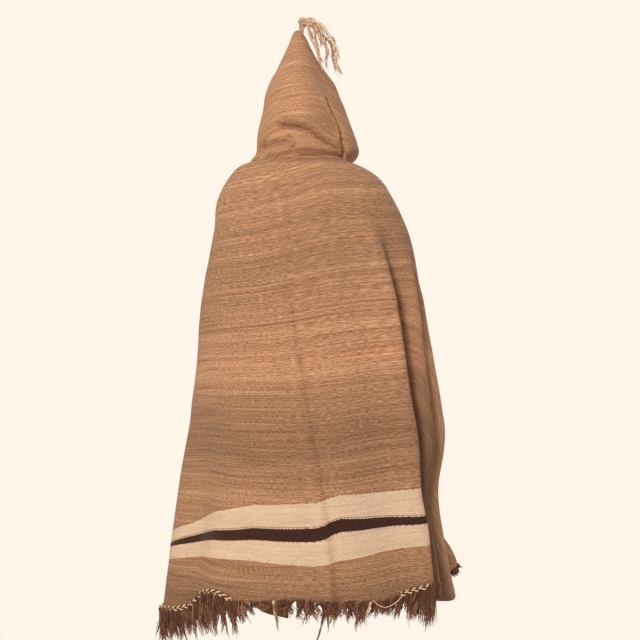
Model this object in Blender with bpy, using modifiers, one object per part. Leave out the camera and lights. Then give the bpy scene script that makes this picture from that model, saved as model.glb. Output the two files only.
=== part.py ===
"""A burnous: a hooded cloak of heavy hand-woven wool, in the form it has when it is worn.

Blender 4.5. Metres, +Z up. The origin is the middle of the neck opening, where the cloak rests on its
wearer. The wearer's front faces -Y and the wearer's right is -X. Angles run round the wearer: 0 degrees
is the middle of the back (+Y), +90 the wearer's right (-X) and -90 the wearer's left (+X).
"""

from collections import namedtuple

import bmesh
import bpy
import numpy as np

# ---------------------------------------------------------------------------- driving dimensions

CLOTH = 0.0025  # thickness of the wool cloth
SEAM_GAP = 0.0003  # between two pieces at a seam
FRINGE_GAP = 0.0016
FRINGE_THICK = 0.004
CORD_RADIUS = 0.0042  # twined edging on the hem
SIDE_SEAM = 112.0  # degrees from the middle of the back to where the fronts begin
JOIN_T = 0.27  # the fronts are sewn together down to this share of the way to the hem
FRONT_PARTING = 11.0  # degrees from the middle of the front to each front edge, at the hem

# ---------------------------------------------------------------------------- form of the body

# Rings from the neck seam to the hem: reach to each side, then height at each side. "square" is the
# superellipse power of the ring, 2 for an ellipse.
Section = namedtuple("Section", "left right back front z_back z_left z_right z_front square")
SECTIONS = (
    Section(0.150, 0.116, 0.100, 0.100, 0.004, 0.006, 0.008, -0.075, 2.0),
    Section(0.178, 0.152, 0.120, 0.120, -0.012, -0.004, -0.004, -0.112, 2.0),
    Section(0.208, 0.204, 0.136, 0.139, -0.055, -0.034, -0.036, -0.160, 2.1),
    Section(0.242, 0.247, 0.156, 0.156, -0.120, -0.098, -0.098, -0.225, 2.2),
    Section(0.251, 0.286, 0.174, 0.172, -0.205, -0.185, -0.185, -0.310, 2.3),
    Section(0.281, 0.322, 0.193, 0.194, -0.360, -0.350, -0.350, -0.460, 2.4),
    Section(0.297, 0.355, 0.210, 0.216, -0.560, -0.560, -0.560, -0.660, 2.4),
    Section(0.318, 0.376, 0.228, 0.236, -0.740, -0.750, -0.750, -0.860, 2.4),
    Section(0.345, 0.356, 0.246, 0.254, -0.900, -0.930, -0.920, -1.040, 2.3),
    Section(0.362, 0.376, 0.260, 0.270, -1.010, -1.065, -1.050, -1.190, 2.3),
    Section(0.380, 0.400, 0.272, 0.288, -1.128, -1.208, -1.190, -1.352, 2.2),
)

# Vertical folds. The angles are of the crest, at the top of the fold and at the hem. Depth is outward
# (negative for a trough), lean pushes the crest sideways towards the wearer's right. The fold grows from
# nothing at "start" to its full size at "full", as shares of the way from neck to hem.
Fold = namedtuple("Fold", "name top hem width depth lean start full")
FOLDS = (
    Fold("back pleat", -23.6, 13.4, 0.016, 0.006, 0.005, 0.10, 0.60),
    Fold("back pleat hollow", -19.0, 18.0, 0.016, -0.0065, 0.000, 0.10, 0.60),
    Fold("left wave hollow", -70.0, -58.0, 0.050, -0.026, 0.000, 0.40, 0.85),
    Fold("left wave", -95.0, -78.0, 0.065, 0.014, 0.000, 0.45, 1.00),
    Fold("right panel edge", 47.0, 55.5, 0.028, 0.038, 0.028, 0.12, 0.36),
    Fold("right deep fold", 60.0, 64.5, 0.028, -0.056, 0.002, 0.16, 0.38),
    Fold("right side crest", 74.0, 70.0, 0.024, 0.010, -0.010, 0.16, 0.38),
    Fold("right side hollow", 80.0, 77.5, 0.024, -0.036, 0.004, 0.18, 0.50),
    Fold("right outer fold", 98.0, 90.0, 0.054, 0.015, 0.000, 0.16, 0.85),
    Fold("right corner hollow", 108.0, 101.0, 0.016, -0.022, 0.000, 0.80, 0.96),
    Fold("right corner", 116.0, 106.0, 0.030, 0.074, 0.000, 0.86, 1.00),
    Fold("right front hollow", 126.0, 119.0, 0.034, -0.030, 0.000, 0.24, 0.80),
    Fold("right front fold", 138.0, 134.0, 0.044, 0.034, 0.010, 0.24, 0.95),
    Fold("right front inner hollow", 153.0, 149.0, 0.036, -0.028, 0.000, 0.28, 0.90),
    Fold("right front edge", 168.0, 162.0, 0.034, 0.020, 0.000, 0.30, 0.90),
    Fold("left side fold", -112.0, -106.0, 0.052, 0.024, -0.008, 0.24, 0.95),
    Fold("left front hollow", -128.0, -124.0, 0.040, -0.032, 0.000, 0.24, 0.85),
    Fold("left front fold", -143.0, -141.0, 0.044, 0.030, -0.012, 0.26, 0.95),
    Fold("left front inner hollow", -157.0, -155.0, 0.034, -0.024, 0.000, 0.28, 0.90),
)

# How far the hem is lifted above the last ring, by angle. It fades out upwards.
HemRow = namedtuple("HemRow", "angle lift")
HEM_FADE_FROM = 0.55
HEM = (
    HemRow(-180, 0.000),
    HemRow(-150, 0.012),
    HemRow(-125, 0.030),
    HemRow(-103, 0.000),
    HemRow(-82, -0.014),
    HemRow(-77, -0.006),
    HemRow(-61, 0.010),
    HemRow(-54, 0.036),
    HemRow(-48, 0.041),
    HemRow(-42, 0.032),
    HemRow(-37, 0.014),
    HemRow(-28, 0.002),
    HemRow(-10, -0.006),
    HemRow(14, -0.010),
    HemRow(30, 0.000),
    HemRow(40, 0.008),
    HemRow(48, 0.028),
    HemRow(52, 0.044),
    HemRow(56, 0.061),
    HemRow(63, 0.054),
    HemRow(74, 0.004),
    HemRow(90, 0.000),
    HemRow(99, 0.020),
    HemRow(108, 0.066),
    HemRow(120, 0.080),
    HemRow(140, 0.036),
    HemRow(160, 0.014),
    HemRow(180, 0.000),
)

# Fringe of warp ends: reach below the hem, by angle. It is on the straight back hem only.
FringeRow = namedtuple("FringeRow", "angle reach")
FRINGE = (
    FringeRow(-107, 0.075),
    FringeRow(-80, 0.080),
    FringeRow(-61, 0.090),
    FringeRow(-50, 0.110),
    FringeRow(-40, 0.100),
    FringeRow(-36, 0.085),
    FringeRow(-32, 0.055),
    FringeRow(0, 0.055),
    FringeRow(30, 0.055),
    FringeRow(46, 0.050),
    FringeRow(52, 0.085),
    FringeRow(56, 0.110),
    FringeRow(66, 0.095),
)
CORNER_FRINGE = (FringeRow(101, 0.012), FringeRow(106, 0.022), FringeRow(111, 0.014))

# Stretches of the hem where the twined edging is still there, in degrees.
EDGINGS = {"twined_edging_left": (-104.0, -36.5), "twined_edging_right": (47.5, 54.0)}
EDGING_GAP = 0.0016
EDGING_RISE = 0.0060  # of the edging's middle above the hem

# ---------------------------------------------------------------------------- form of the hood

# Rings from the neck seam to the tip: the ring's middle, reach at the left (-90), back (0) and back
# right (+60), then the front edges' reach and angle. Above the brow the edges meet in the crown seam.
HoodRow = namedtuple("HoodRow", "x z left back right edge_left edge_right angle_left angle_right")
HOOD = (
    HoodRow(0.000, 0.000, 0.150, 0.100, 0.111, 0.100, 0.100, -172.0, 170.0),
    HoodRow(0.001, 0.016, 0.140, 0.109, 0.113, 0.117, 0.126, -170.0, 150.0),
    HoodRow(0.003, 0.034, 0.131, 0.119, 0.119, 0.128, 0.168, -171.0, 120.0),
    HoodRow(0.006, 0.064, 0.125, 0.118, 0.117, 0.134, 0.162, -174.0, 108.0),
    HoodRow(0.009, 0.097, 0.118, 0.122, 0.115, 0.138, 0.152, -177.0, 107.0),
    HoodRow(0.011, 0.130, 0.110, 0.122, 0.108, 0.142, 0.146, -181.0, 113.0),
    HoodRow(0.012, 0.164, 0.102, 0.117, 0.099, 0.144, 0.142, -188.0, 122.0),
    HoodRow(0.013, 0.198, 0.096, 0.106, 0.084, 0.142, 0.138, -199.0, 132.0),
    HoodRow(0.014, 0.234, 0.080, 0.088, 0.068, 0.140, 0.140, -215.0, 145.0),
    HoodRow(0.015, 0.262, 0.062, 0.068, 0.054, 0.110, 0.110, -215.0, 145.0),
    HoodRow(0.016, 0.297, 0.045, 0.046, 0.041, 0.068, 0.068, -215.0, 145.0),
    HoodRow(0.017, 0.330, 0.029, 0.030, 0.027, 0.040, 0.040, -215.0, 145.0),
    HoodRow(0.018, 0.356, 0.018, 0.019, 0.017, 0.022, 0.022, -215.0, 145.0),
    HoodRow(0.019, 0.370, 0.009, 0.010, 0.009, 0.010, 0.010, -215.0, 145.0),
    HoodRow(0.019, 0.374, 0.000, 0.000, 0.000, 0.000, 0.000, -215.0, 145.0),
)
LEFT_AT, BACK_AT, RIGHT_AT = -90.0, 0.0, 60.0

# Creases of the hood, as soft troughs along a path of (angle, height) points. Each fades at its ends.
Crease = namedtuple("Crease", "name path width depth")
CREASES = (
    Crease(
        "valley over the neck roll",
        ((-80, 0.030), (-62, 0.041), (-42, 0.046), (-23, 0.047), (-14, 0.042)),
        0.0075,
        -0.019,
    ),
    Crease(
        "buckle over the nape",
        ((-38, 0.098), (-24, 0.089), (-6, 0.084), (12, 0.074), (29, 0.056), (46, 0.038), (68, 0.026)),
        0.0060,
        -0.026,
    ),
    Crease("curl", ((-21, 0.066), (-14, 0.050), (-12, 0.036), (-16, 0.022)), 0.005, -0.016),
    Crease("under the neck roll", ((-14, 0.008), (15, 0.011), (50, 0.015), (74, 0.018)), 0.006, -0.008),
    Crease(
        "neck roll",
        ((-60, 0.014), (-36, 0.018), (-12, 0.026), (10, 0.031), (37, 0.029), (70, 0.022)),
        0.009,
        0.012,
    ),
    Crease("ridge to the nape", ((-78, 0.058), (-64, 0.069), (-40, 0.095), (-25, 0.117)), 0.010, 0.007),
    Crease(
        "lip over the buckle",
        ((-25, 0.114), (-1, 0.100), (19, 0.084), (44, 0.056), (62, 0.036)),
        0.009,
        0.012,
    ),
    Crease(
        "cheek fold",
        ((36, 0.206), (45, 0.176), (54, 0.148), (62, 0.118), (66, 0.090), (68, 0.053), (73, 0.018), (76, 0.004)),
        0.0075,
        -0.044,
    ),
    Crease("cheek fold edge", ((38, 0.180), (52, 0.132), (58, 0.095), (60, 0.050)), 0.010, 0.006),
    Crease("left cheek fold", ((-108, 0.170), (-118, 0.110), (-122, 0.050), (-124, 0.020)), 0.018, -0.014),
)
Bulge = namedtuple("Bulge", "name angle z spread height out")
BULGES = (
    Bulge("over the buckle", 8.0, 0.116, 36.0, 0.018, 0.006),
    Bulge("left of the curl", -40.0, 0.066, 22.0, 0.013, 0.006),
    Bulge("between buckle and roll", 20.0, 0.052, 22.0, 0.009, -0.003),
)

# Middle line of the tassel on the hood's tip, and its half thickness there.
TasselRow = namedtuple("TasselRow", "x y z radius")
TASSEL = (
    TasselRow(0.019, 0.000, 0.3785, 0.003),
    TasselRow(0.009, 0.001, 0.3960, 0.007),
    TasselRow(-0.010, 0.002, 0.4020, 0.009),
    TasselRow(-0.035, 0.002, 0.3900, 0.011),
    TasselRow(-0.060, 0.001, 0.3600, 0.013),
    TasselRow(-0.077, 0.000, 0.3250, 0.015),
    TasselRow(-0.089, -0.002, 0.2900, 0.013),
    TasselRow(-0.097, -0.004, 0.2560, 0.006),
)
TASSEL_STEPS = 3  # points between two rows

# ---------------------------------------------------------------------------- mesh density

BACK_COLUMNS, FRONT_COLUMNS, BODY_ROWS = 45, 14, 19
HOOD_COLUMNS, HOOD_LEVELS = 38, 19
EDGING_COLUMNS = 18
CREASE_LEAST = 0.014  # no crease is made narrower than this at the hood's mesh density
FOLD_CROWDING = 1.6  # how much closer the columns stand at a fold

WOOL = (0.42, 0.235, 0.125)
WOOL_DARK = (0.13, 0.055, 0.032)
WOOL_TASSEL = (0.43, 0.26, 0.16)
WOOL_CREAM = (0.76, 0.53, 0.34)


# ---------------------------------------------------------------------------- curves through tables


def ramp(x, low, high):
    """0 up to low, 1 from high on, and a smooth step between."""
    s = np.clip((x - low) / (high - low), 0.0, 1.0)
    return s * s * (3.0 - 2.0 * s)


def through(places, values, x):
    """A smooth curve through the values at the places, which are in rising order, read at x."""
    places, values = np.asarray(places, float), np.asarray(values, float)
    slopes = np.gradient(values, places)
    x = np.clip(x, places[0], places[-1])
    k = np.clip(np.searchsorted(places, x, side="right") - 1, 0, len(places) - 2)
    step = places[k + 1] - places[k]
    s = (x - places[k]) / step
    return (
        values[k] * (1 + 2 * s) * (1 - s) ** 2
        + slopes[k] * step * s * (1 - s) ** 2
        + values[k + 1] * s * s * (3 - 2 * s)
        + slopes[k + 1] * step * s * s * (s - 1)
    )


def column(rows, name):
    return [getattr(row, name) for row in rows]


def section_places():
    """Each ring's share of the way from neck to hem, by the distance between rings at back and sides."""
    steps = [0.0]
    for above, below in zip(SECTIONS, SECTIONS[1:]):
        back = np.hypot(below.back - above.back, below.z_back - above.z_back)
        right = np.hypot(below.right - above.right, below.z_right - above.z_right)
        steps.append(steps[-1] + (back + right) / 2)
    return np.array(steps) / steps[-1]


PLACES = section_places()


def section(t, name):
    return through(PLACES, column(SECTIONS, name), t)


# ---------------------------------------------------------------------------- surface of the body


def ring_point(angle, t):
    """The body's ring at t before any fold, as x, y and its distance from the axis."""
    a = np.radians(angle)
    side = np.where(np.sin(a) > 0, section(t, "right"), section(t, "left"))
    depth = np.where(np.cos(a) > 0, section(t, "back"), section(t, "front"))
    power = section(t, "square")
    reach = (np.abs(np.sin(a)) / side) ** power + (np.abs(np.cos(a)) / depth) ** power
    r = reach ** (-1.0 / power)
    return -np.sin(a) * r, np.cos(a) * r, r


def hem_lift(angle):
    return through(column(HEM, "angle"), column(HEM, "lift"), angle)


def body_height(angle, t):
    a = np.radians(angle)
    side = np.where(np.sin(a) > 0, section(t, "z_right"), section(t, "z_left"))
    end = np.where(np.cos(a) > 0, section(t, "z_back"), section(t, "z_front"))
    z = side * np.sin(a) ** 2 + end * np.cos(a) ** 2
    return z + hem_lift(angle) * ramp(t, HEM_FADE_FROM, 1.0)


def body_points(angle, t):
    """Points of the cloak's outer face, with its folds, for arrays of angle and t."""
    angle, t = np.broadcast_arrays(np.asarray(angle, float), np.asarray(t, float))
    x, y, r = ring_point(angle, t)
    ahead_x, ahead_y, _ = ring_point(angle + 0.5, t)
    along = np.stack([ahead_x - x, ahead_y - y], -1)
    along /= np.linalg.norm(along, axis=-1, keepdims=True)
    out = np.stack([along[..., 1], -along[..., 0]], -1)
    place = np.stack([x, y], -1)
    for fold in FOLDS:
        crest = fold.top + (fold.hem - fold.top) * ramp(t, 0.0, 1.0)
        size = np.exp(-((np.radians(angle - crest) * r / fold.width) ** 2)) * ramp(t, fold.start, fold.full)
        place = place + out * (fold.depth * size)[..., None] + along * (fold.lean * size)[..., None]
    return np.concatenate([place, body_height(angle, t)[..., None]], -1)


def front_edge(t):
    """Angle of the front edge: sewn in the middle down to JOIN_T, then parting towards the hem."""
    seam = 180.0 - np.degrees(SEAM_GAP / 2 / section(t, "front"))
    return seam - FRONT_PARTING * ramp(t, JOIN_T, 1.15) / ramp(1.0, JOIN_T, 1.15)


def crowded(first, last, count, at):
    """count angles from first to last, closer near the folds at t = at, with a narrow one at each end.

    The narrow ones make the wall's end faces square to the surface, so that two pieces meet evenly.
    """
    fine = np.linspace(first, last, 1200)
    density = np.ones_like(fine)
    for fold in FOLDS:
        crest = fold.top + (fold.hem - fold.top) * ramp(at, 0.0, 1.0)
        spread = np.degrees(fold.width / 0.3)
        density += FOLD_CROWDING * abs(fold.depth) / 0.03 * np.exp(-(((fine - crest) / spread) ** 2))
    along = np.concatenate([[0.0], np.cumsum((density[1:] + density[:-1]) / 2)])
    shares = np.linspace(0.0, 1.0, count - 2)
    shares = np.concatenate([[0.0, 0.12 * shares[1]], shares[1:-1], [1.0 - 0.12 * shares[1], 1.0]])
    return np.interp(shares * along[-1], along, fine)


# ---------------------------------------------------------------------------- surface of the hood


def hood_radius(angle, level):
    """The hood's reach at the angle, on the ring at level (0 the neck seam, 1 the tip)."""
    rows = np.linspace(0.0, 1.0, len(HOOD))
    left, back, right, edge_left, edge_right, angle_left, angle_right = (
        through(rows, column(HOOD, name), level)
        for name in ("left", "back", "right", "edge_left", "edge_right", "angle_left", "angle_right")
    )
    fixed = [np.full_like(level, at) for at in (LEFT_AT, BACK_AT, RIGHT_AT)]
    knots = np.stack([angle_left, *fixed, angle_right], -1)
    reach = np.stack([edge_left, left, back, right, edge_right], -1)
    radius = np.empty(np.broadcast(angle, level).shape)
    flat = radius.reshape(-1)
    knots, reach = knots.reshape(-1, 5), reach.reshape(-1, 5)
    for n, at in enumerate(np.broadcast_to(angle, radius.shape).reshape(-1)):
        flat[n] = through(knots[n], reach[n], at)
    return radius


def near_path(angle, z, r, path):
    """Distance from each point to a path of (angle, height) points, and how far along it the nearest is."""
    best = np.full(angle.shape, 9.0)
    share = np.zeros(angle.shape)
    stretches = len(path) - 1
    for k, ((angle_a, z_a), (angle_b, z_b)) in enumerate(zip(path, path[1:])):
        du, dz = np.radians(angle_b - angle_a) * r, z_b - z_a
        pu, pz = np.radians(angle - angle_a) * r, z - z_a
        s = np.clip((pu * du + pz * dz) / (du * du + dz * dz + 1e-9), 0.0, 1.0)
        gap = np.hypot(pu - s * du, pz - s * dz)
        closer = gap < best
        best = np.where(closer, gap, best)
        share = np.where(closer, (k + s) / stretches, share)
    return best, share


def hood_points(side, level):
    """Points of the hood's outer face. side runs from 0, the left edge, to 1, the right edge."""
    side, level = np.broadcast_arrays(np.asarray(side, float), np.asarray(level, float))
    rows = np.linspace(0.0, 1.0, len(HOOD))
    x, z, left, right = (
        through(rows, column(HOOD, name), level) for name in ("x", "z", "angle_left", "angle_right")
    )
    angle = left + (right - left) * side
    r = hood_radius(angle, level)
    # The neck seam follows the body's top edge round to the throat.
    r = r + (ring_point(angle, np.zeros_like(angle))[2] - r) * (1.0 - ramp(level, 0.0, 0.08))
    on_seam = body_height(np.clip(angle, -180.0, 180.0), np.zeros_like(angle)) - HOOD[0].z
    z = z + on_seam * (1.0 - ramp(level, 0.0, 0.35)) + 2 * SEAM_GAP
    for crease in CREASES:
        gap, share = near_path(angle, z, r, crease.path)
        fade = ramp(share, 0.0, 0.18) * (1.0 - ramp(share, 0.82, 1.0))
        width = max(crease.width, CREASE_LEAST)
        r = r + crease.depth * crease.width / width * np.exp(-((gap / width) ** 2)) * fade
    for bulge in BULGES:
        near = ((angle - bulge.angle) / bulge.spread) ** 2 + ((z - bulge.z) / bulge.height) ** 2
        r = r + bulge.out * np.exp(-near)
    a = np.radians(angle)
    return np.stack([x - np.sin(a) * r, np.cos(a) * r, z], -1)


# ---------------------------------------------------------------------------- making objects


def clear_scene():
    for obj in list(bpy.data.objects):
        bpy.data.objects.remove(obj)


def wool(name, colour, roughness):
    material = bpy.data.materials.new(name)
    material.use_nodes = True
    shader = material.node_tree.nodes["Principled BSDF"]
    shader.inputs["Base Color"].default_value = (*colour, 1.0)
    shader.inputs["Roughness"].default_value = roughness
    shader.inputs["Metallic"].default_value = 0.0
    return material


def sheet(name, points, thickness, material, collection):
    """A cloth wall: a loft through the grid of points, whose outer face they are, with Solidify inwards."""
    rows, columns = points.shape[:2]
    bm = bmesh.new()
    verts = [[bm.verts.new(points[j, i]) for i in range(columns)] for j in range(rows)]
    for j in range(rows - 1):
        for i in range(columns - 1):
            bm.faces.new((verts[j][i], verts[j + 1][i], verts[j + 1][i + 1], verts[j][i + 1]))
    bmesh.ops.remove_doubles(bm, verts=bm.verts, dist=1e-5)
    mesh = bpy.data.meshes.new(name)
    bm.to_mesh(mesh)
    bm.free()
    mesh.shade_smooth()
    mesh.materials.append(material)
    obj = bpy.data.objects.new(name, mesh)
    collection.objects.link(obj)
    solidify = obj.modifiers.new("cloth thickness", "SOLIDIFY")
    solidify.thickness = thickness
    solidify.offset = -1.0
    return obj


def tube(name, points, radii, material, collection, bevel_resolution):
    """A round bar along the points, thick as radii say, as a poly curve with filled caps."""
    curve = bpy.data.curves.new(name, "CURVE")
    curve.dimensions = "3D"
    curve.bevel_depth = 1.0
    curve.bevel_resolution = bevel_resolution
    curve.use_fill_caps = True
    spline = curve.splines.new("POLY")
    spline.points.add(len(points) - 1)
    for point, place, radius in zip(spline.points, points, radii):
        point.co = (*place, 1.0)
        point.radius = radius
    curve.materials.append(material)
    obj = bpy.data.objects.new(name, curve)
    collection.objects.link(obj)
    return obj


# ---------------------------------------------------------------------------- the pieces


def half_gap(angle, t):
    """Half of a seam's gap, as degrees at that place."""
    return float(np.degrees(SEAM_GAP / 2 / ring_point(angle, t)[2]))


def back_angles():
    edge = SIDE_SEAM - half_gap(SIDE_SEAM, 0.5)
    return crowded(-edge, edge, BACK_COLUMNS, 0.75)


def front_angles(sign, t):
    """Angles of a front's columns at each t, from the side seam to the free edge."""
    start = SIDE_SEAM + half_gap(SIDE_SEAM, 0.5)
    spacing = (np.abs(crowded(sign * start, sign * 180.0, FRONT_COLUMNS, 0.75)) - start) / (180.0 - start)
    return sign * (start + (front_edge(t)[:, None] - start) * spacing[None, :])


def make_back(material, collection):
    t = np.linspace(0.0, 1.0, BODY_ROWS) ** 0.9
    return sheet("back", body_points(back_angles()[None, :], t[:, None]), CLOTH, material, collection)


def make_front(name, sign, material, collection):
    """One front, from the side seam to its free edge. sign is +1 for the wearer's right."""
    t = np.linspace(0.0, 1.0, BODY_ROWS) ** 0.9
    points = body_points(front_angles(sign, t), t[:, None])
    if sign < 0:
        points = points[:, ::-1]
    return sheet(name, points, CLOTH, material, collection)


def make_hood(material, collection):
    side = np.linspace(0.0, 1.0, HOOD_COLUMNS)
    level = np.linspace(0.0, 1.0, HOOD_LEVELS) ** 0.85
    return sheet("hood", hood_points(side[None, :], level[:, None])[::-1], CLOTH, material, collection)


def make_fringe(name, rows, columns, material, collection):
    """The reach of a fringe: a thin wall that leaves the hem in line with the cloth, then hangs down."""
    angles = columns[(columns > rows[0].angle) & (columns < rows[-1].angle)]
    hem = body_points(angles, 1.0)
    line = hem - body_points(angles, 0.985)
    line /= np.linalg.norm(line, axis=1, keepdims=True)
    reach = through(column(rows, "angle"), column(rows, "reach"), angles)
    top = hem + line * FRINGE_GAP
    down = np.stack([0 * reach, 0 * reach, -reach], -1)
    points = np.stack([top, top + line * 0.008, top + down / 2, top + down])
    return sheet(name, points, FRINGE_THICK, material, collection)


def make_edging(name, first, last, material, collection):
    """A twined cord on the outside of the hem, made from the hem's points moved out."""
    angles = np.linspace(first, last, EDGING_COLUMNS)
    hem = body_points(angles, 1.0)
    along = np.gradient(hem[:, :2], axis=0)
    along /= np.linalg.norm(along, axis=1, keepdims=True)
    out = np.stack([along[:, 1], -along[:, 0]], -1)
    place = hem.copy()
    place[:, :2] += out * (CORD_RADIUS + EDGING_GAP)
    place[:, 2] += EDGING_RISE
    return tube(name, place, [CORD_RADIUS] * len(place), material, collection, 2)


def make_tassel(material, collection):
    rows = np.arange(len(TASSEL), dtype=float)
    along = np.linspace(0.0, len(TASSEL) - 1.0, TASSEL_STEPS * (len(TASSEL) - 1) + 1)
    x, y, z, radius = (through(rows, column(TASSEL, name), along) for name in TasselRow._fields)
    return tube("hood_tassel", np.stack([x, y, z], -1), radius, material, collection, 3)


def main():
    clear_scene()
    collection = bpy.data.collections.new("burnous")
    bpy.context.scene.collection.children.link(collection)
    brown = wool("brown wool", WOOL, 0.95)
    dark = wool("dark wool fringe", WOOL_DARK, 0.95)
    tan = wool("tassel wool", WOOL_TASSEL, 0.95)
    cream = wool("cream and brown twined wool", WOOL_CREAM, 0.95)
    make_back(brown, collection)
    make_front("front_right", 1, brown, collection)
    make_front("front_left", -1, brown, collection)
    make_hood(brown, collection)
    make_tassel(tan, collection)
    make_fringe("fringe_back", FRINGE, back_angles(), dark, collection)
    make_fringe("fringe_corner", CORNER_FRINGE, back_angles(), dark, collection)
    for name, (first, last) in EDGINGS.items():
        make_edging(name, first, last, cream, collection)


main()
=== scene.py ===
"""Looks of the burnous: hand-woven wool in its worn form, with fringe, edging and tassel.

Metres, +Z up, in the frame of the part: the wearer's back faces +Y and the wearer's right is -X. Angles
run round the wearer: 0 is the middle of the back, +90 the wearer's right (-X), -90 the wearer's left.
Cloth coordinates are in metres: u along the weft from the mid back, v along the warp up from the hem.
"""

import math
from collections import namedtuple

import bmesh
import bpy
import numpy as np
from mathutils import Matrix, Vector


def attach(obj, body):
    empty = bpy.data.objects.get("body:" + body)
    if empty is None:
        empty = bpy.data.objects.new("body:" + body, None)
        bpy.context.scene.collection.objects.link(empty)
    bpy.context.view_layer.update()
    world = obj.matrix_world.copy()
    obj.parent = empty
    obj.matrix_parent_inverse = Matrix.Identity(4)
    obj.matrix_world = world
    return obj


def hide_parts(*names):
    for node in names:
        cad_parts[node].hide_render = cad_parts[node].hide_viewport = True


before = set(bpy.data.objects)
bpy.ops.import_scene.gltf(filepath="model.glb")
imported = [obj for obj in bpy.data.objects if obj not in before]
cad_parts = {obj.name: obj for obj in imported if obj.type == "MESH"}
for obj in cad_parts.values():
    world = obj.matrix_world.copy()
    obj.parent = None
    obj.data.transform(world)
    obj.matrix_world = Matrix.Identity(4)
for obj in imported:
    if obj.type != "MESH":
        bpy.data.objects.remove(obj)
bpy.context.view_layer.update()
rng = np.random.default_rng(11)

# ---------------------------------------------------------------------------- sizes

CLOTH = 0.0025
GAP = 0.0003
SIDE_SEAM = 112.0
JOIN_T = 0.27
FRONT_PARTING = 11.0
NECK_REACH = 0.09  # from the middle of the flat half-moon to the neck edge

Section = namedtuple("Section", "left right back front z_back z_left z_right z_front square")
SECTIONS = (
    Section(0.150, 0.116, 0.100, 0.100, 0.004, 0.006, 0.008, -0.075, 2.0),
    Section(0.178, 0.152, 0.120, 0.120, -0.012, -0.004, -0.004, -0.112, 2.0),
    Section(0.208, 0.204, 0.136, 0.139, -0.055, -0.034, -0.036, -0.160, 2.1),
    Section(0.242, 0.247, 0.156, 0.156, -0.120, -0.098, -0.098, -0.225, 2.2),
    Section(0.251, 0.286, 0.174, 0.172, -0.205, -0.185, -0.185, -0.310, 2.3),
    Section(0.281, 0.322, 0.193, 0.194, -0.360, -0.350, -0.350, -0.460, 2.4),
    Section(0.297, 0.355, 0.210, 0.216, -0.560, -0.560, -0.560, -0.660, 2.4),
    Section(0.318, 0.376, 0.228, 0.236, -0.740, -0.750, -0.750, -0.860, 2.4),
    Section(0.345, 0.356, 0.246, 0.254, -0.900, -0.930, -0.920, -1.040, 2.3),
    Section(0.362, 0.376, 0.260, 0.270, -1.010, -1.065, -1.050, -1.190, 2.3),
    Section(0.380, 0.400, 0.272, 0.288, -1.128, -1.208, -1.190, -1.352, 2.2),
)

Fold = namedtuple("Fold", "name top hem width depth lean start full")
FOLDS = (
    Fold("back pleat", -23.6, 13.4, 0.016, 0.006, 0.005, 0.10, 0.60),
    Fold("back pleat hollow", -19.0, 18.0, 0.016, -0.0065, 0.000, 0.10, 0.60),
    Fold("left wave hollow", -70.0, -58.0, 0.050, -0.026, 0.000, 0.40, 0.85),
    Fold("left wave", -95.0, -78.0, 0.065, 0.014, 0.000, 0.45, 1.00),
    Fold("right panel edge", 47.0, 55.5, 0.028, 0.038, 0.028, 0.12, 0.36),
    Fold("right deep fold", 60.0, 64.5, 0.028, -0.056, 0.002, 0.16, 0.38),
    Fold("right side crest", 74.0, 70.0, 0.024, 0.010, -0.010, 0.16, 0.38),
    Fold("right side hollow", 80.0, 77.5, 0.024, -0.036, 0.004, 0.18, 0.50),
    Fold("right outer fold", 98.0, 90.0, 0.054, 0.015, 0.000, 0.16, 0.85),
    Fold("right corner hollow", 108.0, 101.0, 0.016, -0.022, 0.000, 0.80, 0.96),
    Fold("right corner", 116.0, 106.0, 0.030, 0.074, 0.000, 0.86, 1.00),
    Fold("right front hollow", 126.0, 119.0, 0.034, -0.030, 0.000, 0.24, 0.80),
    Fold("right front fold", 138.0, 134.0, 0.044, 0.034, 0.010, 0.24, 0.95),
    Fold("right front inner hollow", 153.0, 149.0, 0.036, -0.028, 0.000, 0.28, 0.90),
    Fold("right front edge", 168.0, 162.0, 0.034, 0.020, 0.000, 0.30, 0.90),
    Fold("left side fold", -112.0, -106.0, 0.052, 0.024, -0.008, 0.24, 0.95),
    Fold("left front hollow", -128.0, -124.0, 0.040, -0.032, 0.000, 0.24, 0.85),
    Fold("left front fold", -143.0, -141.0, 0.044, 0.030, -0.012, 0.26, 0.95),
    Fold("left front inner hollow", -157.0, -155.0, 0.034, -0.024, 0.000, 0.28, 0.90),
)

HemRow = namedtuple("HemRow", "angle lift")
HEM_FADE_FROM = 0.55
HEM = (
    HemRow(-180, 0.000),
    HemRow(-150, 0.012),
    HemRow(-125, 0.030),
    HemRow(-103, 0.000),
    HemRow(-82, -0.014),
    HemRow(-77, -0.006),
    HemRow(-61, 0.010),
    HemRow(-54, 0.036),
    HemRow(-48, 0.041),
    HemRow(-42, 0.032),
    HemRow(-37, 0.014),
    HemRow(-28, 0.002),
    HemRow(-10, -0.006),
    HemRow(14, -0.010),
    HemRow(30, 0.000),
    HemRow(40, 0.008),
    HemRow(48, 0.028),
    HemRow(52, 0.044),
    HemRow(56, 0.061),
    HemRow(63, 0.054),
    HemRow(74, 0.004),
    HemRow(90, 0.000),
    HemRow(99, 0.020),
    HemRow(108, 0.066),
    HemRow(120, 0.080),
    HemRow(140, 0.036),
    HemRow(160, 0.014),
    HemRow(180, 0.000),
)

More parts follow.
